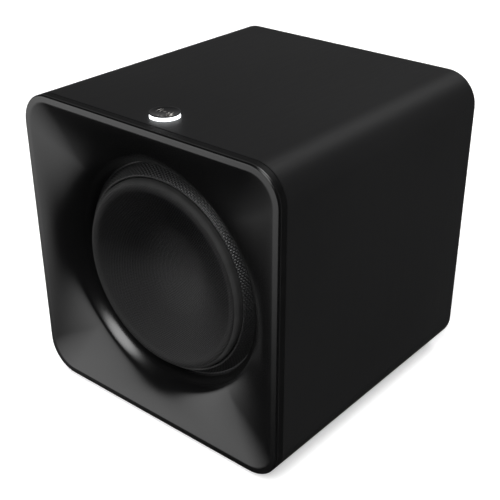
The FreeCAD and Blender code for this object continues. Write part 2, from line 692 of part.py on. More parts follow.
def electronics():
    """Main board, transformer, capacitors, power transistors and the wireless module."""
    face = "-amp_t - board_gap - pcb_t"
    keep(group("amp_board", [block("pcb", ("pcb_w", "pcb_h", "pcb_t"), ("0", "pcb_y", face))]), REAR)
    core = ("toroid_x", "toroid_y", f"{face} - toroid_d")
    wound = less("toroid_wound", rod("toroid", "toroid_rad", "toroid_d", core),
                 rod("toroid_bore", "toroid_hole", "toroid_d", core))
    keep(group("transformer", [wound]), REAR)
    cans = [rod("can", "can_rad", "can_len",
                (f"can_x + can_pitch * {number}", "toroid_y", f"{face} - can_len")) for number in range(2)]
    keep(group("capacitors", cans), REAR)
    chips = [block("transistor", ("chip_w", "chip_h", "chip_t"),
                   (f"chip_x + chip_pitch * {number}", "chip_y", f"{face} - chip_t")) for number in range(4)]
    keep(group("power_transistors", chips), REAR)
    radio = block("radio", ("radio_w", "radio_h", "radio_t"), ("radio_x", "radio_y", f"{face} - radio_t"))
    keep(group("wireless_module", [radio]), REAR)


def heat_sink():
    """Finned block on the outside of the plate."""
    body = new_body("heat_sink", REAR)
    base = new_sketch(body, "XY_Plane")
    rectangle(base, "sink_w", "sink_h", "0", "sink_y")
    pad(body, base, "sink_base")
    fins = new_sketch(body, "XY_Plane", "sink_base")
    pitch = "(sink_w - fin_t) / (fin_count - 1)"
    for number in range(int(value("fin_count"))):
        rectangle(fins, "fin_t", "sink_h", f"(-sink_w / 2 + fin_t / 2 + {pitch} * {number})", "sink_y")
    pad(body, fins, "fin_h")


def potentiometer(label, side):
    """Square pot behind the plate, with a bore for the knob's shaft."""
    base = block("pot_case", ("pot_side", "pot_side", "pot_d"), (f"{side}knob_x", "knob_y", "-amp_t - pot_d"))
    bore = rod("pot_bore", "shaft_rad + 0.4", "pot_d", (f"{side}knob_x", "knob_y", "-amp_t - pot_d + 2"))
    keep(less(label, base, bore), REAR)


def knob(label, side):
    """Fluted knob with a pointer groove, on its shaft."""
    body = new_body(label, REAR)
    bind(body, "Placement.Base.x", f"0 - ({side}knob_x)")
    bind(body, "Placement.Base.z", "foot_h + cab_w / 2 + knob_y")
    top = "knob_gap + knob_h"
    revolve(body, [
        ("0", "-amp_t - pot_d + 3"), ("shaft_rad", "-amp_t - pot_d + 3"), ("shaft_rad", "knob_gap"),
        ("knob_rad + knob_skirt", "knob_gap"), ("knob_rad + knob_skirt", "knob_gap + 1.4"),
        ("knob_rad", "knob_gap + 2"),
        ("knob_rad - 0.6", f"{top} - 0.8", "0.9", 1), ("knob_rad - 1.4", top), ("0", top),
    ])
    flute = new_sketch(body, "XY_Plane", "knob_gap + 2.4")
    circle(flute, "flute_rad", "knob_rad + 0.25", "0")
    polar(body, [pocket(body, flute, "knob_h")], int(value("flute_count")), flute)
    pointer = new_sketch(body, "XY_Plane", f"{top} - 0.6")
    rectangle(pointer, "1", "knob_rad * 0.6", "0", "knob_rad * 0.55")
    body.Tip = pocket(body, pointer, "1")


def phase_switch():
    """Slide switch: a case behind the plate and the slider that shows in its slot."""
    case = block("phase_case", ("slot_w + 6", "slot_h + 4", "7"), ("0", "slot_y", "-amp_t - 7"))
    track = block("phase_track", ("slot_w", "slot_h", "4"), ("0", "slot_y", "-amp_t - 3.4"))
    keep(less("phase_switch", case, track), REAR)
    nub = block("phase_nub", ("slider_w", "slider_h", "3 + amp_t + slider_out"),
                ("-slide_run / 2", "slot_y", "-amp_t - 3"))
    grips = [block("phase_grip", ("0.5", "slider_h", "0.5"),
                   (f"-slide_run / 2 + {step} * 1.2", "slot_y", "slider_out - 0.5")) for step in (-1, 0, 1)]
    keep(less("phase_slider", nub, fused("phase_grips", grips)), REAR)


def power_switch():
    """Rocker switch: frame clipped through the plate and a rocker on a cross axis."""
    spot = ("power_x", "power_y")
    flange = block("switch_flange", ("rocker_w + 6", "rocker_half * 2 + 6", "1.8"), (*spot, "0"))
    case = block("switch_case", ("rocker_w + 2", "rocker_half * 2 + 2", "amp_t + 12"), (*spot, "-amp_t - 12"))
    well = block("switch_well", ("rocker_w + 0.6", "rocker_half * 2 + 1", "amp_t + 13"),
                 (*spot, "-amp_t - 10.5"))
    keep(less("switch_frame", fused("switch_solid", [flange, case]), well), REAR)
    body = new_body("power_rocker", REAR)
    bind(body, "Placement.Base.x", "0 - power_x")
    bind(body, "Placement.Base.z", "foot_h + cab_w / 2 + power_y")
    tilt = math.radians(SIZES["rocker_tilt"])
    sketch = new_sketch(body, "YZ_Plane", "-rocker_w / 2")

    def tilted(along, up):
        """A point of the rocker's side, turned about its axis."""
        turned_along = f"(({along}) * {math.cos(tilt):.5f} - ({up}) * {math.sin(tilt):.5f})"
        turned_up = f"(({along}) * {math.sin(tilt):.5f} + ({up}) * {math.cos(tilt):.5f})"
        return turned_along, turned_up

    edge = ("rocker_half * cos(18 deg)", "rocker_half * sin(18 deg)")
    outline(sketch, [
        (*tilted("-" + edge[0], edge[1]), "rocker_half", 1),
        (*tilted("0", "-rocker_half"), "rocker_half", 1),
        tilted(*edge),
        tilted("0", "1.4"),
    ])
    pad(body, sketch, "rocker_w")


def line_inputs():
    """Two round jacks: metal shells with a centre insert."""
    shells, inserts = [], []
    for side in ("-", "+"):
        x = f"-jack_x {side} jack_pitch / 2"
        tube = rod("jack_tube", "jack_rad", "jack_h + amp_t + jack_deep", (x, "jack_y", "-amp_t - jack_deep"))
        flange = rod("jack_flange", "jack_rad + jack_collar", "1.6", (x, "jack_y", "0"))
        bore = rod("jack_bore", "jack_rad - jack_wall", "jack_h + amp_t + jack_deep + 1",
                   (x, "jack_y", "-amp_t - jack_deep - 0.5"))
        shells.append(less("jack_shell", fused("jack_solid", [tube, flange]), bore))
        core = rod("jack_core", "jack_rad - jack_wall - 0.05", "jack_h + amp_t + jack_deep - 1.4",
                   (x, "jack_y", "-amp_t - jack_deep"))
        socket = rod("jack_socket", "socket_rad", "socket_d", (x, "jack_y", "jack_h - socket_d"))
        inserts.append(less("jack_insert", core, socket))
    keep(group("jack_shells", shells), REAR)
    keep(group("jack_inserts", inserts), REAR)


def mains_inlet():
    """Three-pin appliance inlet with a flange and an open socket."""
    body = new_body("mains_inlet", REAR)
    flange = new_sketch(body, "XY_Plane")
    rectangle(flange, "inlet_flange", "inlet_h + 7", "inlet_x", "inlet_y")
    pad(body, flange, "2")
    case = new_sketch(body, "XY_Plane", "-amp_t - inlet_d")
    rectangle(case, "inlet_w + 2 * inlet_wall", "inlet_h + 2 * inlet_wall", "inlet_x", "inlet_y")
    pad(body, case, "inlet_d + amp_t")
    left, right = "inlet_x - inlet_w / 2", "inlet_x + inlet_w / 2"
    low, high = "inlet_y - inlet_h / 2", "inlet_y + inlet_h / 2"
    socket = new_sketch(body, "XY_Plane", "-inlet_d + inlet_wall")
    outline(socket, [
        (left, low), (right, low), (right, f"{high} - inlet_cut"),
        (f"{right} - inlet_cut", high), (f"{left} + inlet_cut", high), (left, f"{high} - inlet_cut"),
    ])
    pocket(body, socket, "inlet_d + 2")
    pins = [block("inlet_pin", ("pin_w", "pin_h", "inlet_d - 3"),
                  (f"inlet_x {across} pin_x" if across else "inlet_x", f"inlet_y {up} pin_y",
                   "-inlet_d + inlet_wall")) for across, up in (("-", "-"), ("", "+"), ("+", "-"))]
    keep(group("inlet_pins", pins), REAR)


def status_light():
    lens = rod("lens", "led_rad - 0.1", "amp_t + 4", ("led_x", "led_y", "-amp_t - 3"))
    dome = doc.addObject("Part::Sphere", "lens_dome")
    bind(dome, "Radius", "led_rad - 0.1")
    at(dome, ("led_x", "led_y", "1"))
    keep(fused("status_light", [lens, dome]), REAR)


# ---- top button -------------------------------------------------------------------------------------------
def top_button():
    """Glossy cap and clear light ring in a hole through the cabinet's top, over a switch board on a plug."""
    stem_end = "-wall + plug_t + pcb_t + tact_h + button_gap"
    cap = new_body("button_cap", TOP)
    revolve(cap, [
        ("0", stem_end), ("stem_rad", stem_end), ("stem_rad", "cap_lift"), ("cap_rad", "cap_lift"),
        ("cap_rad", "cap_lift + cap_t - cap_edge", "cap_edge", 1), ("cap_rad - cap_edge", "cap_lift + cap_t"),
        ("0", "cap_lift + cap_t"),
    ])
    ring("light_ring", "button_rad - light_t", "button_rad", "-button_deep", "button_deep + cap_lift", TOP)
    keep(group("button_plug", [rod("plug_disc", "button_hole", "plug_t", ("0", "0", "-wall"))]), TOP)
    disc = rod("board_disc", "button_hole - 1", "pcb_t", ("0", "0", "-wall + plug_t"))
    tact = rod("tact_switch", "stem_rad", "tact_h", ("0", "0", "-wall + plug_t + pcb_t"))
    keep(fused("button_board", [disc, tact]), TOP)


cabinet_shell()
front_bezel()
baffle_board()
window_brace()
back_panel()
damping_pads()
feet()
driver_basket()
gasket_ring()
driver_screws()
motor()
wiring()
dish()
surround()
cone()
voice_coil()
spider()
tinsel_leads()
amp_plate()
amp_screws()
amp_chassis()
electronics()
heat_sink()
potentiometer("gain_pot", "-")
potentiometer("crossover_pot", "")
knob("gain_knob", "-")
knob("crossover_knob", "")
phase_switch()
power_switch()
line_inputs()
mains_inlet()
status_light()
top_button()

doc.recompute()
failed = [thing.Label for thing in doc.Objects if {"Invalid", "Error"} & set(thing.State)]
for node in nodes:
    if node.Shape.isNull() or not node.Shape.isValid() or not node.Shape.Solids:
        failed.append(node.Label)
if failed:
    raise RuntimeError("failed: " + ", ".join(failed))
for node in nodes:
    node.Shape.exportStep(f"parts/{node.Label}.step")
    print(f"{node.Label:18s} {len(node.Shape.Solids):2d} solids  {node.Shape.Volume / 1000:9.2f} cm3")
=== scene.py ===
import math
import bmesh
import bpy
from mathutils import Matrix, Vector


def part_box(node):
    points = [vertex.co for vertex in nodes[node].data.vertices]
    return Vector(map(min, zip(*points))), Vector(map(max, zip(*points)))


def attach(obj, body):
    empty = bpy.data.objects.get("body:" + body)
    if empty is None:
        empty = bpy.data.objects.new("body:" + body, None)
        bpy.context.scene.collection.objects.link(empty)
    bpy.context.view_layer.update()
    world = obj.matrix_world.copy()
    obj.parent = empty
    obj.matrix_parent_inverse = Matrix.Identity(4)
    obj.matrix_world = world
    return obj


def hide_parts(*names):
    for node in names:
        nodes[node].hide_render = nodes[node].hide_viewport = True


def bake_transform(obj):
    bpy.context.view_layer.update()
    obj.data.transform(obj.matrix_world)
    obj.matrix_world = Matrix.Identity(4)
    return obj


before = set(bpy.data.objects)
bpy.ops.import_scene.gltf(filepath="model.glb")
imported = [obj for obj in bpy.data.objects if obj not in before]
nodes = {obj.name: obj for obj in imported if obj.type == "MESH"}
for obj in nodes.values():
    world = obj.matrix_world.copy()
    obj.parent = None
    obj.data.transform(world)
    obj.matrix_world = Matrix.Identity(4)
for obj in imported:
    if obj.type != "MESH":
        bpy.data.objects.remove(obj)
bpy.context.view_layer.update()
MM = 0.001

# ---- places read from the frame ----------------------------------------------------------------------------
shell_low, shell_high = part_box("cabinet_shell")
dish_low, dish_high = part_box("dish")
cap_low, cap_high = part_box("button_cap")
light_low, light_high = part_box("light_ring")
surround_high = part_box("surround")[1]

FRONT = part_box("front_bezel")[0].y
HALF = shell_high.x
AXIS_Z = (shell_low.z + shell_high.z) / 2
BOTTOM = shell_low.z
TOP = shell_high.z
DEPTH = shell_high.y - FRONT
PANEL_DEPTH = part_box("back_panel")[0].y - FRONT
PLATE_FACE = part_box("amp_plate")[1].y
BUTTON = Vector(((cap_low.x + cap_high.x) / 2, (cap_low.y + cap_high.y) / 2, 0))

# ---- sizes of the visible surfaces, in metres; depths run back from the front plane ------------------------
EDGE_ROUND = 35 * MM
WALL = 15 * MM
INNER_HALF = HALF - WALL
INNER_ROUND = EDGE_ROUND - WALL
SKIRT = 9.6 * MM
PARTING = shell_low.y - FRONT
RIM_WIDTH = 7 * MM
RIM_EDGE = 1.8 * MM
MOUTH_ROUND = 28 * MM
CREASE_ROUND = 12 * MM
ROUND_DEPTH = 16 * MM
THROAT_RADIUS = 116.4 * MM
THROAT_DEPTH = 36 * MM
LEAD_IN = math.radians(20)

LIP_RADIUS = 97 * MM
LIP_ROUND = 18 * MM
LIP_OUT = dish_high.x
LIP_DEPTH = dish_low.y - FRONT
LIP_FOOT = 28 * MM
GLUE_WIDTH = 6 * MM
DISH_THICK = 1.4 * MM
DISH_DEPTH = dish_high.y - FRONT - DISH_THICK
DISH_SLOPE = math.radians(27)

ROLL_IN = 102.8 * MM
ROLL_OUT = 113.6 * MM
ROLL_CREST = 24.1 * MM
ROLL_LEAD = 1.6 * MM
ROLL_SLOPE = math.radians(36.5)
RUBBER_THICK = 1.2 * MM
ROLL_FOOT_OUT = surround_high.x
ROLL_FOOT_DEPTH = surround_high.y - FRONT
ROLL_SEAT = ROLL_FOOT_DEPTH - 1 * MM

# Marks on the rear: print lies on the plate, and the pointer lines lie in the knobs' grooves.
PRINT_SUNK = 0.05 * MM
PRINT_PROUD = 0.08 * MM
POINTER_DEEP = 0.7 * MM
POINTER_SHALLOW = 0.1 * MM
TICK_GAP = 1.6 * MM
TICK_LONG = 3.2 * MM
TICK_SHORT = 2 * MM
TICK_HALF_WIDTH = 0.3 * MM
MARK_HALF_WIDTH = 0.35 * MM

# Studio light: the dome's own strength, the pale backdrop that only the camera sees, then each soft panel's
# direction, how much flatter it is than wide, its full and its faded half angle in degrees, and its strength.
# In order: high in front, low at the front left, behind, high behind, and low at the back right.
DOME = 0.01
BACKDROP = 1.0
PANELS = [
    ((0.27, -0.57, 0.775), 1.0, 10, 25, 9.0),
    ((-0.60, -0.79, -0.139), 1.7, 12, 40, 2.1),
    ((-0.15, 0.95, 0.25), 1.0, 20, 80, 0.20),
    ((0.08, 0.62, 0.78), 1.0, 6, 22, 4.2),
    ((0.62, 0.74, -0.25), 1.0, 8, 40, 0.07),
]


# ---- mesh helpers ------------------------------------------------------------------------------------------
def make_mesh(name, points, faces, sharp_degrees=40):
    """A smooth-shaded mesh object whose edges stay sharp past an angle."""
    mesh = bpy.data.meshes.new(name)
    mesh.from_pydata([tuple(point) for point in points], [], faces)
    work = bmesh.new()
    work.from_mesh(mesh)
    bmesh.ops.recalc_face_normals(work, faces=work.faces)
    work.to_mesh(mesh)
    work.free()
    mesh.shade_smooth()
    mesh.set_sharp_from_angle(angle=math.radians(sharp_degrees))
    piece = bpy.data.objects.new(name, mesh)
    bpy.context.collection.objects.link(piece)
    return piece


def skin(name, loops, closed_run=False, sharp_degrees=40):
    """Quads between neighbouring closed loops that all have the same number of points."""
    count = len(loops[0])
    points = [point for loop in loops for point in loop]
    pairs = list(zip(range(len(loops) - 1), range(1, len(loops))))
    if closed_run:
        pairs.append((len(loops) - 1, 0))
    faces = []
    for here, there in pairs:
        for index in range(count):
            after = (index + 1) % count
            faces.append((here * count + index, here * count + after,
                          there * count + after, there * count + index))
    return make_mesh(name, points, faces, sharp_degrees)


def square_reach(angle, half, corner, roundness=0.0):
    """Distance from the middle of a rounded square to its outline in one direction.

    Roundness bows the four sides out, from straight at 0 to one full circle at 1.
    """
    across, up = sorted((abs(math.cos(angle)), abs(math.sin(angle))))
    if roundness >= 1:
        return half
    if roundness == 0:
        middle = half - corner
        touch = (half - corner, half)
        side = half / up
    else:
        knee = half * (1 + (1 - roundness) * (math.sqrt(2) - 1)) / math.sqrt(2)
        bow = (2 * knee * knee - 2 * knee * half + half * half) / (2 * (half - knee))
        rest = half - bow
        middle = (rest + math.sqrt(2 * (bow - corner) ** 2 - rest ** 2)) / 2
        reach = bow / (bow - corner)
        touch = (middle * reach, rest + (middle - rest) * reach)
        side = rest * up + math.sqrt(bow * bow - (rest * across) ** 2)
    if across * touch[1] <= up * touch[0]:
        return side
    along = (across + up) * middle
    return along + math.sqrt(max(along * along - 2 * middle * middle + corner * corner, 0))


def square_loop(half, corner, depth, roundness=0.0, count=512):
    """A rounded square about the driver's axis, at a depth behind the front plane."""
    loop = []
    for index in range(count):
        angle = 2 * math.pi * (index + 0.5) / count
        reach = square_reach(angle, half, corner, roundness)
        loop.append(Vector((reach * math.cos(angle), FRONT + depth, AXIS_Z + reach * math.sin(angle))))
    return loop


def turned(name, profile, count=256, closed_run=False, sharp_degrees=40):
    """A piece turned about the driver's axis from (radius, depth) points."""
    loops = []
    for radius, depth in profile:
        ring = [2 * math.pi * index / count for index in range(count)]
        loops.append([Vector((radius * math.cos(turn), FRONT + depth, AXIS_Z + radius * math.sin(turn)))
                      for turn in ring])
    piece = skin(name, loops, closed_run, sharp_degrees)
    weld(piece)
    return piece


def turned_upright(name, profile, centre, count=96, sharp_degrees=40):
    """A closed piece turned about a vertical axis from (radius, height) points."""
    loops = []
    for radius, height in profile:
        ring = [2 * math.pi * index / count for index in range(count)]
        loops.append([centre + Vector((radius * math.cos(turn), radius * math.sin(turn), height))
                      for turn in ring])
    piece = skin(name, loops, True, sharp_degrees)
    weld(piece)
    return piece


def weld(piece):
    """Joins the points that meet on an axis and drops the flat faces left there."""
    work = bmesh.new()
    work.from_mesh(piece.data)
    bmesh.ops.remove_doubles(work, verts=work.verts, dist=1e-6)
    work.to_mesh(piece.data)
    work.free()


def arc(centre, radius, start, end, steps):
    """Points of an arc in the profile plane, angles in degrees from the outward direction."""
    points = []
    for step in range(steps + 1):
        turn = math.radians(start + (end - start) * step / steps)
        points.append((centre[0] + radius * math.cos(turn), centre[1] + radius * math.sin(turn)))
    return points


def quarter_turns(steps):
    """Angles from 0 to a right angle, for a rounded edge."""
    return [math.pi / 2 * step / steps for step in range(steps + 1)]


def steps_between(start, end, steps):
    """Points along a straight run, after its start."""
    return [tuple(a + (b - a) * step / steps for a, b in zip(start, end)) for step in range(1, steps + 1)]


def finish_piece(piece, material, body, slot, *replaced):
    """Gives a piece its material and its body, and hides the CAD nodes that it replaces. The slot is not
    used.
    """
    piece.data.materials.clear()
    piece.data.materials.append(material)
    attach(piece, body)
    if replaced:
        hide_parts(*replaced)
    return piece


# ---- material helpers --------------------------------------------------------------------------------------
class Surface:
    """A principled material and short ways to add the nodes that feed it."""

    def __init__(self, name, roughness=0.5, **settings):
        self.material = bpy.data.materials.new(name)
        self.material.use_nodes = True
        self.tree = self.material.node_tree
        self.shader = self.tree.nodes["Principled BSDF"]
        self.shader.inputs["Roughness"].default_value = roughness
        for socket, number in settings.items():
            self.shader.inputs[socket.replace("_", " ")].default_value = number
        self.place = self.tree.nodes.new("ShaderNodeTexCoord").outputs["Object"]

    def node(self, kind, inputs=None, **properties):
        """Adds a shader node; an input is either another node's output or a plain value."""
        made = self.tree.nodes.new("ShaderNode" + kind)
        for name, choice in properties.items():
            setattr(made, name, choice)
        for key, source in (inputs or {}).items():
            if isinstance(source, bpy.types.NodeSocket):
                self.tree.links.new(source, made.inputs[key])
            else:
                made.inputs[key].default_value = source
        return made

    def math(self, operation, first, second=0.0):
        """Result of one sum on outputs or plain numbers."""
        return self.node("Math", {0: first, 1: second}, operation=operation).outputs[0]

    def stretched(self, scale, turn=(0, 0, 0)):
        """Object coordinates scaled by a different amount each way, and turned."""
        return self.node("Mapping", {"Vector": self.place, "Scale": scale, "Rotation": turn}).outputs[0]

    def noise(self, scale, detail=3.0, place=None, roughness=0.5):
        """Noise from 0 to 1 over the object's coordinates, or over other ones."""
        inputs = {"Vector": place or self.place, "Scale": scale, "Detail": detail, "Roughness": roughness}
        return self.node("TexNoise", inputs).outputs["Fac"]

    def between(self, factor, low, high):
        """Moves a 0 to 1 factor into the range from low to high."""
        inputs = {"Value": factor, "To Min": low, "To Max": high}
        return self.node("MapRange", inputs).outputs["Result"]

    def tint(self, factor, dark, light):
        """Base colour that varies between two colours."""
        ramp = self.node("ValToRGB", {"Fac": factor})
        ramp.color_ramp.elements[0].position = 0.3
        ramp.color_ramp.elements[1].position = 0.7
        ramp.color_ramp.elements[0].color = (*dark, 1)
        ramp.color_ramp.elements[1].color = (*light, 1)
        self.tree.links.new(ramp.outputs["Color"], self.shader.inputs["Base Color"])
        return ramp.outputs["Color"]

    def rough(self, factor, low, high):
        """Roughness that varies between two values."""
        self.tree.links.new(self.between(factor, low, high), self.shader.inputs["Roughness"])

    def bump(self, height, depth, strength=1.0):
        """Adds relief; repeated calls stack."""
        inputs = {"Height": height, "Distance": depth, "Strength": strength}
        linked = self.shader.inputs["Normal"].links
        if linked:
            inputs["Normal"] = linked[0].from_socket
        made = self.node("Bump", inputs)
        self.tree.links.new(made.outputs["Normal"], self.shader.inputs["Normal"])

    def split_place(self):
        """Object x, y and z as separate numbers."""
        return self.node("SeparateXYZ", {"Vector": self.place}).outputs


def plain_weave(surface, across, along):
    """Height of an over-and-under weave; one thread each way per unit of across and along."""
    wave_across = surface.math("SINE", surface.math("MULTIPLY", across, math.pi))
    wave_along = surface.math("SINE", surface.math("MULTIPLY", along, math.pi))
    over = surface.math("GREATER_THAN", surface.math("MULTIPLY", wave_across, wave_along), 0.0)
    warp = surface.math("ABSOLUTE", wave_across)
    weft = surface.math("ABSOLUTE", wave_along)
    mixed = surface.node("Mix", {0: over, 2: weft, 3: warp}, data_type="FLOAT")
    return mixed.outputs[0]


# ---- materials ---------------------------------------------------------------------------------------------
def moulding_material():
    """Satin black moulded plastic with a very fine spark-eroded grain."""
    surface = Surface("satin_moulding", 0.28, Specular_IOR_Level=0.45)
    surface.tint(surface.noise(9, 4), (0.0022, 0.0022, 0.0023), (0.0030, 0.0030, 0.0031))
    surface.rough(surface.noise(34, 5), 0.21, 0.26)
    surface.bump(surface.noise(2600, 2), 0.000012, 0.25)
    return surface.material


def shaded_skirt_material():
    """Duller, matt black copy of the moulding for its skirt: painted shade, so the skirt behind the rim stays
    dark and shows no highlight.
    """
    surface = Surface("shaded_skirt", 0.46, Specular_IOR_Level=0.08)
    surface.tint(surface.noise(60, 4), (0.0030, 0.0030, 0.0031), (0.0042, 0.0042, 0.0043))
    surface.rough(surface.noise(200, 3), 0.42, 0.50)
    surface.bump(surface.noise(1800, 2), 0.00003, 0.4)
    return surface.material


def wrap_material():
    """Black wood-grain vinyl: short pores that run up the sides and from front to back on the top."""
    surface = Surface("black_grain_wrap", 0.55, Specular_IOR_Level=0.12)
    axes = surface.split_place()
    turn_over = EDGE_ROUND * 0.3
    on_top = surface.math("GREATER_THAN", axes[2], TOP - turn_over)
    under = surface.math("LESS_THAN", axes[2], BOTTOM + turn_over)
    lying = surface.math("MAXIMUM", on_top, under)
    upright = surface.noise(1.0, 5, surface.stretched((900, 900, 26)), 0.6)
    laid = surface.noise(1.0, 5, surface.stretched((900, 26, 900)), 0.6)
    grain = surface.node("Mix", {0: lying, 2: upright, 3: laid}, data_type="FLOAT").outputs[0]
    pores = surface.between(surface.math("GREATER_THAN", grain, 0.62), 1.0, 0.0)
    surface.tint(surface.noise(4, 3), (0.0080, 0.0080, 0.0083), (0.0104, 0.0104, 0.0107))
    surface.rough(grain, 0.40, 0.54)
    surface.bump(grain, 0.00008, 0.5)
    surface.bump(pores, 0.00004, 0.3)
    return surface.material


def woven_material():
    """Black woven fibre of the dish: threads 1.6 mm apart under a thin clear resin."""
    surface = Surface("woven_fibre", 0.5, Specular_IOR_Level=0.27)
    axes = surface.split_place()
    pitch = 1.6 * MM
    across = surface.math("DIVIDE", axes[0], pitch)
    up = surface.math("DIVIDE", axes[2], pitch)
    weave = plain_weave(surface, across, up)
    surface.tint(weave, (0.0003, 0.0003, 0.0003), (0.0060, 0.0060, 0.0062))
    surface.rough(weave, 0.34, 0.22)
    surface.bump(weave, 0.00022, 1.0)
    surface.bump(surface.noise(2600, 2), 0.00003, 0.25)
    return surface.material


def surround_material():
    """Black rubber pressed with a fine cloth pattern that runs round the driver."""
    surface = Surface("cloth_pressed_rubber", 0.5, Specular_IOR_Level=0.60)
    axes = surface.split_place()
    up = surface.math("SUBTRACT", axes[2], AXIS_Z)
    turn = surface.math("ARCTAN2", up, axes[0])
    radius = surface.math("SQRT", surface.math("ADD", surface.math("MULTIPLY", axes[0], axes[0]),
                                               surface.math("MULTIPLY", up, up)))
    pitch = 2.3 * MM
    around = surface.math("MULTIPLY", turn, round(LIP_OUT / pitch))
    outward = surface.math("DIVIDE", surface.math("ADD", radius, axes[1]), pitch)
    weave = plain_weave(surface, around, outward)
    surface.tint(weave, (0.0005, 0.0005, 0.0005), (0.0100, 0.0100, 0.0103))
    surface.rough(weave, 0.48, 0.28)
    surface.bump(weave, 0.00042, 1.0)
    return surface.material


def board_material():
    """Black sealed board of the back panel and the sleeve's cut end."""
    surface = Surface("sealed_board", 0.7)
    speck = surface.noise(1400, 4)
    surface.tint(speck, (0.012, 0.012, 0.012), (0.022, 0.022, 0.022))
    surface.rough(surface.noise(60, 4), 0.62, 0.78)
    surface.bump(speck, 0.00006, 0.5)
    return surface.material


def powder_coat_material(name="powder_coat", grain=1500, shade=0.020):
    """Fine orange-peel powder coat on sheet steel."""
    surface = Surface(name, 0.5)
    surface.tint(surface.noise(18, 4), (shade * 0.8,) * 3, (shade * 1.15,) * 3)
    surface.rough(surface.noise(200, 3), 0.42, 0.56)
    surface.bump(surface.noise(grain, 2), 0.00005, 0.6)
    return surface.material


def anodised_material():
    """Black anodised aluminium, brushed along the fins."""
    surface = Surface("black_anodised", 0.4, Metallic=0.75)
    lines = surface.noise(1.0, 3, surface.stretched((2600, 2600, 30)))
    surface.tint(surface.noise(25, 3), (0.030, 0.030, 0.032), (0.045, 0.045, 0.047))
    surface.rough(lines, 0.34, 0.5)
    surface.bump(lines, 0.00002, 0.4)
    return surface.material


def plastic_material(name, shade=(0.02, 0.02, 0.021), low=0.34, high=0.46):
    """Moulded plastic with a light texture."""
    surface = Surface(name, low)
    surface.tint(surface.noise(40, 3), tuple(s * 0.85 for s in shade), tuple(s * 1.1 for s in shade))
    surface.rough(surface.noise(160, 3), low, high)
    surface.bump(surface.noise(2200, 2), 0.00003, 0.4)
    return surface.material


def rubber_material():
    """Matt black rubber with a slightly uneven skin."""
    surface = Surface("foot_rubber", 0.75, Specular_IOR_Level=0.3)
    surface.tint(surface.noise(50, 4), (0.014, 0.014, 0.014), (0.022, 0.022, 0.022))
    surface.rough(surface.noise(90, 4), 0.68, 0.85)
    surface.bump(surface.noise(1800, 3), 0.00006, 0.6)
    return surface.material


def gloss_material():
    """Polished black cap with faint hairline scratches under a clear coat."""
    surface = Surface("polished_black", 0.08, Specular_IOR_Level=0.3, Coat_Weight=0.15, Coat_Roughness=0.03)
    surface.tint(surface.noise(60, 3), (0.0040, 0.0040, 0.0045), (0.0065, 0.0065, 0.0070))
    scratches = surface.noise(1.0, 2, surface.stretched((5000, 140, 140), (0, 0, 0.6)))
    surface.rough(scratches, 0.05, 0.12)
    return surface.material


def metal_material(name, colour, low, high, brushed=(900, 900, 900)):
    """Plated metal with fine tool lines."""
    surface = Surface(name, low, Metallic=1.0)
    lines = surface.noise(1.0, 3, surface.stretched(brushed))
    surface.tint(surface.noise(70, 3), tuple(c * 0.85 for c in colour), colour)
    surface.rough(lines, low, high)
    surface.bump(lines, 0.00001, 0.3)
    return surface.material


def lit_material():
    """Frosted ring lit white from below."""
    surface = Surface("lit_diffuser", 0.4, Emission_Strength=3.2)
    frost = surface.noise(900, 2)
    surface.tint(frost, (0.82, 0.86, 0.90), (0.92, 0.94, 0.96))
    glow = surface.node("ValToRGB", {"Fac": frost})
    glow.color_ramp.elements[0].color = (0.90, 0.96, 1.0, 1)
    glow.color_ramp.elements[1].color = (1.0, 1.0, 1.0, 1)
    surface.tree.links.new(glow.outputs["Color"], surface.shader.inputs["Emission Color"])
    surface.bump(frost, 0.00002, 0.3)
    return surface.material


def print_material():
    """White screen-printed ink."""
    surface = Surface("print_white", 0.6)
    surface.tint(surface.noise(300, 3), (0.558,) * 3, (0.62,) * 3)
    surface.bump(surface.noise(2500, 2), 0.00001, 0.3)
    return surface.material


def cloth_material(name, dark, light, pitch):
    """Plain woven cloth for the hidden soft parts."""
    surface = Surface(name, 0.85)
    axes = surface.split_place()
    across = surface.math("DIVIDE", axes[0], pitch)
    up = surface.math("DIVIDE", axes[2], pitch)
    weave = plain_weave(surface, across, up)
    surface.tint(weave, dark, light)
    surface.rough(surface.noise(300, 3), 0.8, 0.92)
    surface.bump(weave, 0.0002, 0.6)
    return surface.material


moulding = moulding_material()
shaded_skirt = shaded_skirt_material()
wrap = wrap_material()
woven = woven_material()
pressed_rubber = surround_material()
board = board_material()
coat = powder_coat_material(shade=0.030)
anodised = anodised_material()
black_plastic = plastic_material("control_plastic")
socket_plastic = plastic_material("socket_plastic", (0.013, 0.013, 0.014), 0.4, 0.55)
rubber = rubber_material()
gloss = gloss_material()
nickel = metal_material("nickel", (0.66, 0.64, 0.60), 0.18, 0.32)
dark_screw = metal_material("black_oxide", (0.16, 0.16, 0.165), 0.30, 0.45)
steel = metal_material("zinc_steel", (0.52, 0.52, 0.54), 0.28, 0.45)
copper = metal_material("enamelled_copper", (0.62, 0.24, 0.10), 0.3, 0.45, (200, 6000, 200))
lit = lit_material()
ink = print_material()


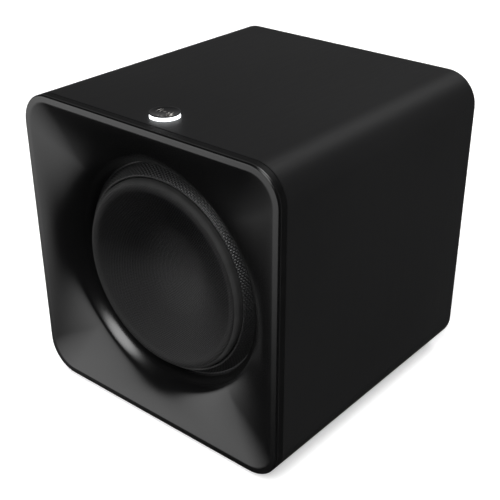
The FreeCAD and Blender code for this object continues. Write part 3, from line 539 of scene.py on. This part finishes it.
# ---- cabinet -----------------------------------------------------------------------------------------------
def horn():
    """Front moulding: rounded rim, the flared surface down to the throat, and a skirt in a duller, matt copy
    of the moulding as painted shade.
    """
    plug = 6 * MM
    skirt_bevel = 0.3 * MM
    crisp = 0.25 * MM
    mouth = HALF - RIM_WIDTH
    loops = [
        square_loop(INNER_HALF, INNER_ROUND, SKIRT + plug),
        square_loop(INNER_HALF, INNER_ROUND, SKIRT),
        square_loop(HALF - skirt_bevel, EDGE_ROUND - skirt_bevel, SKIRT),
        square_loop(HALF, EDGE_ROUND, SKIRT - skirt_bevel),
        square_loop(HALF, EDGE_ROUND, SKIRT - 0.8 * MM),
        square_loop(HALF, EDGE_ROUND, RIM_EDGE * 1.6),
    ]
    shaded_skirt_faces = (len(loops) - 1) * len(loops[0])
    for turn in quarter_turns(6):
        inset = RIM_EDGE * (1 - math.cos(turn))
        loops.append(square_loop(HALF - inset, EDGE_ROUND - inset, RIM_EDGE * (1 - math.sin(turn))))
    flat_start = RIM_EDGE + 0.6 * MM
    loops.append(square_loop(HALF - flat_start, EDGE_ROUND - flat_start, 0))
    for outset in (4 * crisp, 2 * crisp, crisp):
        loops.append(square_loop(mouth + outset, MOUTH_ROUND + outset, 0))
    steps = 36
    spread = 1.15
    for step in range(steps + 1):
        turn = LEAD_IN + (math.pi / 2 - LEAD_IN) * (step / steps) ** spread
        inward = (math.sin(turn) - math.sin(LEAD_IN)) / (1 - math.sin(LEAD_IN))
        deep = 1 - math.cos(turn) / math.cos(LEAD_IN)
        half = mouth + (THROAT_RADIUS - mouth) * inward
        share = min(THROAT_DEPTH * deep / ROUND_DEPTH, 1)
        roundness = share * share * (3 - 2 * share)
        corner = MOUTH_ROUND + (CREASE_ROUND - MOUTH_ROUND) * roundness
        loops.append(square_loop(half, corner, THROAT_DEPTH * deep, roundness))
    throat_outside = THROAT_RADIUS + 2 * MM
    loops.append(square_loop(THROAT_RADIUS, THROAT_RADIUS, ROLL_SEAT))
    loops.append(square_loop(throat_outside, throat_outside, ROLL_SEAT))
    piece = skin("front_horn", loops, False, 30)
    finish_piece(piece, moulding, "cabinet", "moulding", "front_bezel")
    # The skirt's faces take the duller copy of the moulding: painted shade behind the rim.
    piece.data.materials.append(shaded_skirt)
    for face in piece.data.polygons[:shaded_skirt_faces]:
        face.material_index = 1


def sleeve():
    """Cabinet sleeve with softened ends and the hole for the top button."""
    bevel = 0.5 * MM
    end = 1.2 * MM
    loops = [
        square_loop(INNER_HALF, INNER_ROUND, PARTING),
        square_loop(HALF - bevel, EDGE_ROUND - bevel, PARTING),
        square_loop(HALF - bevel * 0.3, EDGE_ROUND - bevel * 0.3, PARTING + bevel * 0.3),
        square_loop(HALF, EDGE_ROUND, PARTING + bevel),
        square_loop(HALF, EDGE_ROUND, PARTING + 3 * bevel),
        square_loop(HALF, EDGE_ROUND, DEPTH - end * 2),
    ]
    for turn in quarter_turns(6):
        inset, depth = end * (1 - math.cos(turn)), DEPTH - end * (1 - math.sin(turn))
        loops.append(square_loop(HALF - inset, EDGE_ROUND - inset, depth))
    for turn in quarter_turns(6):
        outset, depth = end * (1 - math.sin(turn)), DEPTH - end * (1 - math.cos(turn))
        loops.append(square_loop(INNER_HALF + outset, INNER_ROUND + outset, depth))
    loops.append(square_loop(INNER_HALF, INNER_ROUND, DEPTH - end * 2))
    loops.append(square_loop(INNER_HALF, INNER_ROUND, PANEL_DEPTH))
    piece = skin("cabinet_sleeve", loops, True, 30)
    cut_button_hole(piece)
    return finish_piece(piece, wrap, "cabinet", "wrap", "cabinet_shell")


def cut_button_hole(piece):
    """Cuts the round hole in the top with a boolean and keeps only its result."""
    clearance = 0.4 * MM
    radius = light_high.x - BUTTON.x + clearance
    work = bmesh.new()
    bmesh.ops.create_cone(work, cap_ends=True, segments=96, radius1=radius, radius2=radius, depth=WALL * 3)
    bmesh.ops.translate(work, verts=work.verts, vec=(BUTTON.x, BUTTON.y, TOP))
    mesh = bpy.data.meshes.new("drill")
    work.to_mesh(mesh)
    work.free()
    drill = bpy.data.objects.new("drill", mesh)
    bpy.context.collection.objects.link(drill)
    cut = piece.modifiers.new("hole", "BOOLEAN")
    cut.object = drill
    cut.operation = "DIFFERENCE"
    cut.solver = "EXACT"
    bpy.context.view_layer.update()
    result = bpy.data.meshes.new_from_object(piece.evaluated_get(bpy.context.evaluated_depsgraph_get()))
    piece.modifiers.clear()
    piece.data = result
    bpy.data.objects.remove(drill)
    result.shade_smooth()
    result.set_sharp_from_angle(angle=math.radians(30))


# ---- driver ------------------------------------------------------------------------------------------------
def dish():
    """Woven bowl with straight sides and a rounded lip. Matt rubber seals the lip's turned-down edge."""
    lip_side, lip_drop = LIP_ROUND * math.sin(DISH_SLOPE), LIP_ROUND * (1 - math.cos(DISH_SLOPE))
    rise = DISH_DEPTH - LIP_DEPTH - lip_drop
    bowl = ((LIP_RADIUS - lip_side) * math.tan(DISH_SLOPE) - rise) / (1 / math.cos(DISH_SLOPE) - 1)
    slope = math.degrees(DISH_SLOPE)
    turned_in = LIP_OUT - LIP_RADIUS

    def surface_points(inset):
        """The front surface, or the one a thickness behind it."""
        points = [(0, DISH_DEPTH + inset)]
        points += arc((0, DISH_DEPTH - bowl), bowl + inset, 88, 90 - slope, 20)
        points += arc((LIP_RADIUS, LIP_DEPTH + LIP_ROUND), LIP_ROUND - inset, 270 - slope, 270, 10)
        points += arc((LIP_RADIUS, LIP_DEPTH + turned_in), turned_in - inset, 270, 360, 10)[1:]
        points.append((LIP_OUT - inset, LIP_FOOT))
        return points

    profile = surface_points(0) + surface_points(DISH_THICK)[::-1]
    piece = turned("dish_woven", profile)
    finish_piece(piece, woven, "cone_assembly", "woven", "dish")
    piece.data.materials.append(rubber)
    for face in piece.data.polygons:
        reach = math.hypot(face.center.x, face.center.z - AXIS_Z)
        if reach > LIP_RADIUS + turned_in / 3:
            face.material_index = 1


def surround():
    """Rubber band that rises beside the lip and slopes out and back."""
    crest = (ROLL_IN + ROLL_LEAD, ROLL_CREST + ROLL_LEAD)
    turn_end = 360 - math.degrees(ROLL_SLOPE)
    top = arc(crest, ROLL_LEAD, 180, turn_end, 16)
    under = arc(crest, ROLL_LEAD - RUBBER_THICK, turn_end, 180, 16)
    flank_end = (ROLL_OUT, top[-1][1] + (ROLL_OUT - top[-1][0]) / math.tan(ROLL_SLOPE))
    under_end = (under[0][0] + (ROLL_FOOT_DEPTH - under[0][1]) * math.tan(ROLL_SLOPE), ROLL_FOOT_DEPTH)
    glue_in, glue_back = LIP_OUT - GLUE_WIDTH, LIP_FOOT + RUBBER_THICK
    profile = [(glue_in, LIP_FOOT), (ROLL_IN, LIP_FOOT)] + top
    profile += steps_between(top[-1], flank_end, 12)
    profile += [(ROLL_OUT + 0.8 * MM, ROLL_SEAT - 0.3 * MM), (ROLL_OUT + 1.8 * MM, ROLL_SEAT)]
    profile += [(ROLL_FOOT_OUT, ROLL_SEAT), (ROLL_FOOT_OUT, ROLL_FOOT_DEPTH)]
    profile += [under_end] + steps_between(under_end, under[0], 12) + under[1:]
    profile += [(ROLL_IN + RUBBER_THICK, glue_back), (glue_in, glue_back)]
    piece = turned("surround_roll", profile, closed_run=True)
    piece.data.materials.append(pressed_rubber)
    bend_outwards(piece)
    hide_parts("surround")


def bend_outwards(piece):
    """Moves a ring's placement into its points; nothing here bends it."""
    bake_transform(piece)


def spider():
    """Corrugated cloth ring behind the cone."""
    low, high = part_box("spider")
    inner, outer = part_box("coil_former")[1].x, high.x
    middle = (low.y + high.y) / 2 - FRONT
    waves, steps = 6, 72
    wave_height, thick = 1.2 * MM, 0.6 * MM
    front = []
    for step in range(steps + 1):
        along = step / steps
        height = wave_height * math.sin(2 * math.pi * waves * along) * math.sin(math.pi * along)
        front.append((inner + (outer - inner) * along, middle + height))
    profile = front + [(radius, depth + thick) for radius, depth in front[::-1]]
    piece = turned("spider_cloth", profile, closed_run=True)
    weave = cloth_material("spider_weave", (0.30, 0.20, 0.07), (0.50, 0.36, 0.15), 0.9 * MM)
    piece.data.materials.append(weave)
    bend_outwards(piece)
    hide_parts("spider")


# ---- top button --------------------------------------------------------------------------------------------
def top_button():
    """Polished cap with a raised rim line, over a frosted ring of light."""
    radius = cap_high.x - BUTTON.x
    top, under = cap_high.z, light_high.z
    edge, bevel = 0.4 * MM, 0.2 * MM
    rim_in, rim_foot = radius - 1.4 * MM, radius - 1.6 * MM
    recess = 0.12 * MM
    profile = [(0, under), (radius - bevel, under), (radius, under + bevel), (radius, top - edge)]
    profile += arc((radius - edge, top - edge), edge, 0, 90, 6)[1:]
    profile += [(rim_in, top), (rim_foot, top - recess), (0, top - recess)]
    cap = turned_upright("button_gloss", profile, BUTTON)
    finish_piece(cap, gloss, "top_button", "gloss", "button_cap")
    outer = light_high.x - BUTTON.x
    inner = outer - 3 * MM
    bevel = 0.3 * MM
    profile = [(inner, light_low.z), (outer, light_low.z), (outer, under - bevel), (outer - bevel, under),
               (inner, under)]
    ring = turned_upright("button_light", profile, BUTTON)
    finish_piece(ring, lit, "top_button", "diffuser", "light_ring")
    button_mark(top, recess, radius)


def button_mark(top, recess, radius):
    """A generic metal mark in the cap's recess, no higher than its rim: a dot and two pairs of arcs."""
    half_span, steps, bead = math.radians(38), 12, 0.22 * MM
    arcs = []
    for side in (0, math.pi):
        for reach in (0.34 * radius, 0.56 * radius):
            turns = [side - half_span + 2 * half_span * step / steps for step in range(steps + 1)]
            arcs.append([(BUTTON.x + reach * math.cos(turn), BUTTON.y + reach * math.sin(turn), top - bead)
                         for turn in turns])
    floor_height = top - recess
    foot, side, shoulder = floor_height - 0.10 * MM, floor_height + 0.05 * MM, floor_height + 0.10 * MM
    wide, narrow = 0.1 * radius, 0.06 * radius
    profile = [(0, foot), (wide, foot), (wide, side), (narrow, shoulder), (0, top)]
    dot = turned_upright("button_dot", profile, BUTTON, 32)
    for mark in (wire("button_arcs", arcs, bead), dot):
        finish_piece(mark, nickel, "top_button", "nickel")


def bars(name, outlines, depth_low, depth_high):
    """Flat printed or inlaid shapes on the rear, each a closed outline of (x, z) points."""
    points, faces = [], []
    for outline in outlines:
        first, count = len(points), len(outline)
        points += [(x, depth_low, z) for x, z in outline] + [(x, depth_high, z) for x, z in outline]
        faces.append([first + index for index in range(count)])
        faces.append([first + count + index for index in reversed(range(count))])
        for index in range(count):
            after = (index + 1) % count
            faces.append([first + index, first + after, first + count + after, first + count + index])
    return make_mesh(name, points, faces)


def bar(centre, turn, near, far, width):
    """A straight mark that points away from a centre, its angle measured from upright."""
    along, aside = (math.sin(turn), math.cos(turn)), (math.cos(turn), -math.sin(turn))
    return [(centre.x + along[0] * reach + aside[0] * side, centre.z + along[1] * reach + aside[1] * side)
            for reach, side in ((near, -width), (far, -width), (far, width), (near, width))]


def knob_marks(node, body, name):
    """Ticks on the plate round a knob and the white line in the knob's pointer groove."""
    low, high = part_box(node)
    centre = (low + high) / 2
    radius = high.x - centre.x
    start = radius + TICK_GAP
    ticks = []
    for number, degrees in enumerate(range(-150, 151, 30)):
        long = TICK_LONG if number % 5 == 0 else TICK_SHORT
        ticks.append(bar(centre, math.radians(degrees), start, start + long, TICK_HALF_WIDTH))
    scale = bars(name + "_scale", ticks, PLATE_FACE - PRINT_SUNK, PLATE_FACE + PRINT_PROUD)
    finish_piece(scale, ink, "cabinet", "insert")
    groove = bar(centre, 0, radius * 0.26, radius * 0.74, 0.45 * MM)
    line = bars(name + "_pointer", [groove], high.y - POINTER_DEEP, high.y - POINTER_SHALLOW)
    finish_piece(line, ink, body, "insert")


def plate_marks():
    """Generic printed marks: a bar above the power rocker and a disc below it, and a line above each jack."""
    reach, away, sides = 2 * MM, 7 * MM, 24
    low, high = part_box("power_rocker")
    middle = (low.x + high.x) / 2
    above = Vector((middle, 0, high.z + away))
    turns = [2 * math.pi * index / sides for index in range(sides)]
    disc = [(middle + reach * math.cos(turn), low.z - away + reach * math.sin(turn)) for turn in turns]
    shapes = [bar(above, 0, -reach, reach, MARK_HALF_WIDTH), disc]
    line = 3 * MM
    low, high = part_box("jack_shells")
    radius = (high.z - low.z) / 2
    for across in (low.x + radius, high.x - radius):
        centre = Vector((across, 0, high.z + line))
        shapes.append(bar(centre, 0, 0, line, MARK_HALF_WIDTH))
    marks = bars("plate_print", shapes, PLATE_FACE - PRINT_SUNK, PLATE_FACE + PRINT_PROUD)
    finish_piece(marks, ink, "cabinet", "insert")


def wire(name, runs, radius):
    """Thin round beads in one mesh, each along its own run of points."""
    curve = bpy.data.curves.new(name, "CURVE")
    curve.dimensions = "3D"
    curve.bevel_depth = radius
    curve.bevel_resolution = 3
    curve.use_fill_caps = True
    for points in runs:
        spline = curve.splines.new("POLY")
        spline.points.add(len(points) - 1)
        for target, point in zip(spline.points, points):
            target.co = (*point, 1)
    bead = bpy.data.objects.new(name, curve)
    bpy.context.collection.objects.link(bead)
    bpy.context.view_layer.update()
    mesh = bpy.data.meshes.new_from_object(bead.evaluated_get(bpy.context.evaluated_depsgraph_get()))
    bpy.data.objects.remove(bead)
    piece = bpy.data.objects.new(name, mesh)
    bpy.context.collection.objects.link(piece)
    mesh.shade_smooth()
    return piece


def tinsel_leads():
    """Two flexible braided leads from the cone's neck to the basket's wall."""
    low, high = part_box("tinsel_leads")
    radius = (high.y - low.y) / 2
    depth = (low.y + high.y) / 2
    steps = 24
    heights = [high.z + (low.z - high.z) * step / steps for step in range(steps + 1)]
    runs = [[(across, depth, height) for height in heights]
            for across in (low.x + radius, high.x - radius)]
    piece = wire("tinsel_braid", runs, radius)
    piece.data.materials.append(nickel)
    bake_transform(piece)
    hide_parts("tinsel_leads")


# ---- carried-over nodes ------------------------------------------------------------------------------------
def dress(node, material, bevel=0.0):
    """Gives a CAD node its material and softens its edges with a modifier."""
    thing = nodes[node]
    thing.data.materials.clear()
    thing.data.materials.append(material)
    if bevel:
        rounded = thing.modifiers.new("soft_edges", "BEVEL")
        rounded.width = bevel
        rounded.segments = 2
        rounded.limit_method = "ANGLE"
        rounded.angle_limit = math.radians(40)
        rounded.harden_normals = True


def dress_all():
    """Materials and softened edges of the CAD nodes that are shown as they are."""
    for node in ("back_panel", "baffle_board", "window_brace"):
        dress(node, board)
    dress("amp_plate", coat, 0.4 * MM)
    dress("amp_chassis", coat)
    dress("heat_sink", anodised, 0.25 * MM)
    for node in ("gain_knob", "crossover_knob", "phase_slider", "power_rocker", "switch_frame"):
        dress(node, black_plastic, 0.2 * MM)
    dress("mains_inlet", socket_plastic, 0.4 * MM)
    for node in ("gain_pot", "crossover_pot", "phase_switch", "terminal_strip", "button_plug", "capacitors",
                 "power_transistors"):
        dress(node, socket_plastic)
    for node in ("jack_shells", "inlet_pins"):
        dress(node, nickel, 0.2 * MM)
    for node in ("amp_screws", "foot_screws", "driver_screws"):
        dress(node, dark_screw, 0.25 * MM)
    dress("feet", rubber, 1 * MM)
    for node in ("gasket_ring", "speaker_wires"):
        dress(node, rubber)
    for node in ("top_plate", "yoke", "coil_former"):
        dress(node, steel)
    for node in ("voice_coil", "transformer"):
        dress(node, copper)
    dress("driver_basket", powder_coat_material("cast_coat", 900, 0.024))
    dress("magnet", powder_coat_material("ferrite", 2400, 0.05))
    dress("cone", cloth_material("pressed_pulp", (0.03, 0.03, 0.03), (0.06, 0.06, 0.06), 2.2 * MM))
    dress("damping_pads", cloth_material("wadding", (0.62, 0.62, 0.60), (0.80, 0.80, 0.78), 3 * MM))
    dress("jack_inserts", plastic_material("jack_insulator", (0.62, 0.62, 0.60), 0.35, 0.5))
    green = plastic_material("solder_mask", (0.02, 0.10, 0.04), 0.3, 0.45)
    for node in ("amp_board", "wireless_module", "button_board"):
        dress(node, green)
    dress("status_light", lit)


# ---- stage -------------------------------------------------------------------------------------------------
def floor():
    """Plain pale floor, far larger than the view."""
    reach = 6
    corners = [(-reach, -reach, 0), (reach, -reach, 0), (reach, reach, 0), (-reach, reach, 0)]
    plane = make_mesh("floor", corners, [(0, 1, 2, 3)])
    surface = Surface("pale_floor", 0.8, Specular_IOR_Level=0.2, Emission_Strength=0.45)
    surface.tint(surface.noise(3, 2), (0.86, 0.86, 0.86), (0.88, 0.88, 0.88))
    surface.shader.inputs["Emission Color"].default_value = (1, 1, 1, 1)
    plane.data.materials.append(surface.material)
    plane.visible_glossy = False


def lights():
    """A dim studio dome with the soft panels added to it, seen by the camera as a pale backdrop."""
    world = bpy.data.worlds.new("studio")
    bpy.context.scene.world = world
    world.use_nodes = True
    tree = world.node_tree

    def add(kind, *sources, **properties):
        """Adds a world node; its first inputs are the sources, in order."""
        made = tree.nodes.new("ShaderNode" + kind)
        for name, choice in properties.items():
            setattr(made, name, choice)
        for number, source in enumerate(sources):
            if isinstance(source, bpy.types.NodeSocket):
                tree.links.new(source, made.inputs[number])
            else:
                made.inputs[number].default_value = source
        return made

    ray = add("TexCoord").outputs["Generated"]
    glow = DOME
    for place, flatter, full, faded, strength in PANELS:
        squeezed = add("VectorMath", ray, (1, 1, flatter), operation="MULTIPLY").outputs["Vector"]
        level = add("VectorMath", squeezed, operation="NORMALIZE").outputs["Vector"]
        centre = Vector((place[0], place[1], place[2] * flatter)).normalized()
        aim = add("VectorMath", level, centre, operation="DOT_PRODUCT").outputs["Value"]
        panel = add("MapRange", aim, math.cos(math.radians(faded)), math.cos(math.radians(full)), 0, strength,
                    interpolation_type="SMOOTHSTEP")
        glow = add("Math", glow, panel.outputs["Result"], operation="ADD").outputs["Value"]
    seen = add("LightPath").outputs["Is Camera Ray"]
    shown = add("Mix", seen, data_type="FLOAT")
    tree.links.new(glow, shown.inputs["A"])
    shown.inputs["B"].default_value = BACKDROP
    tree.links.new(shown.outputs["Result"], tree.nodes["Background"].inputs["Strength"])
    tree.nodes["Background"].inputs["Color"].default_value = (1, 1, 1, 1)


def camera():
    """Camera at the photograph's viewing angle."""
    azimuth, elevation = math.radians(39.83), math.radians(29.14)
    distance = 1.0889
    aim = Vector((-0.0039, 0.0052, AXIS_Z - 0.0520))
    back = Vector((math.sin(azimuth) * math.cos(elevation), -math.cos(azimuth) * math.cos(elevation),
                   math.sin(elevation)))
    data = bpy.data.cameras.new("camera")
    data.lens = 69.3
    data.sensor_width = 36
    data.shift_x = -0.0092
    data.shift_y = 0.0302
    thing = bpy.data.objects.new("camera", data)
    bpy.context.collection.objects.link(thing)
    thing.location = aim + back * distance
    thing.rotation_euler = (-back).to_track_quat("-Z", "Y").to_euler()
    bpy.context.scene.camera = thing


horn()
sleeve()
knob_marks("gain_knob", "gain_control", "gain")
knob_marks("crossover_knob", "crossover_control", "crossover")
plate_marks()
dish()
surround()
spider()
tinsel_leads()
top_button()
dress_all()
floor()
lights()
camera()
bpy.context.scene.view_settings.view_transform = "Standard"
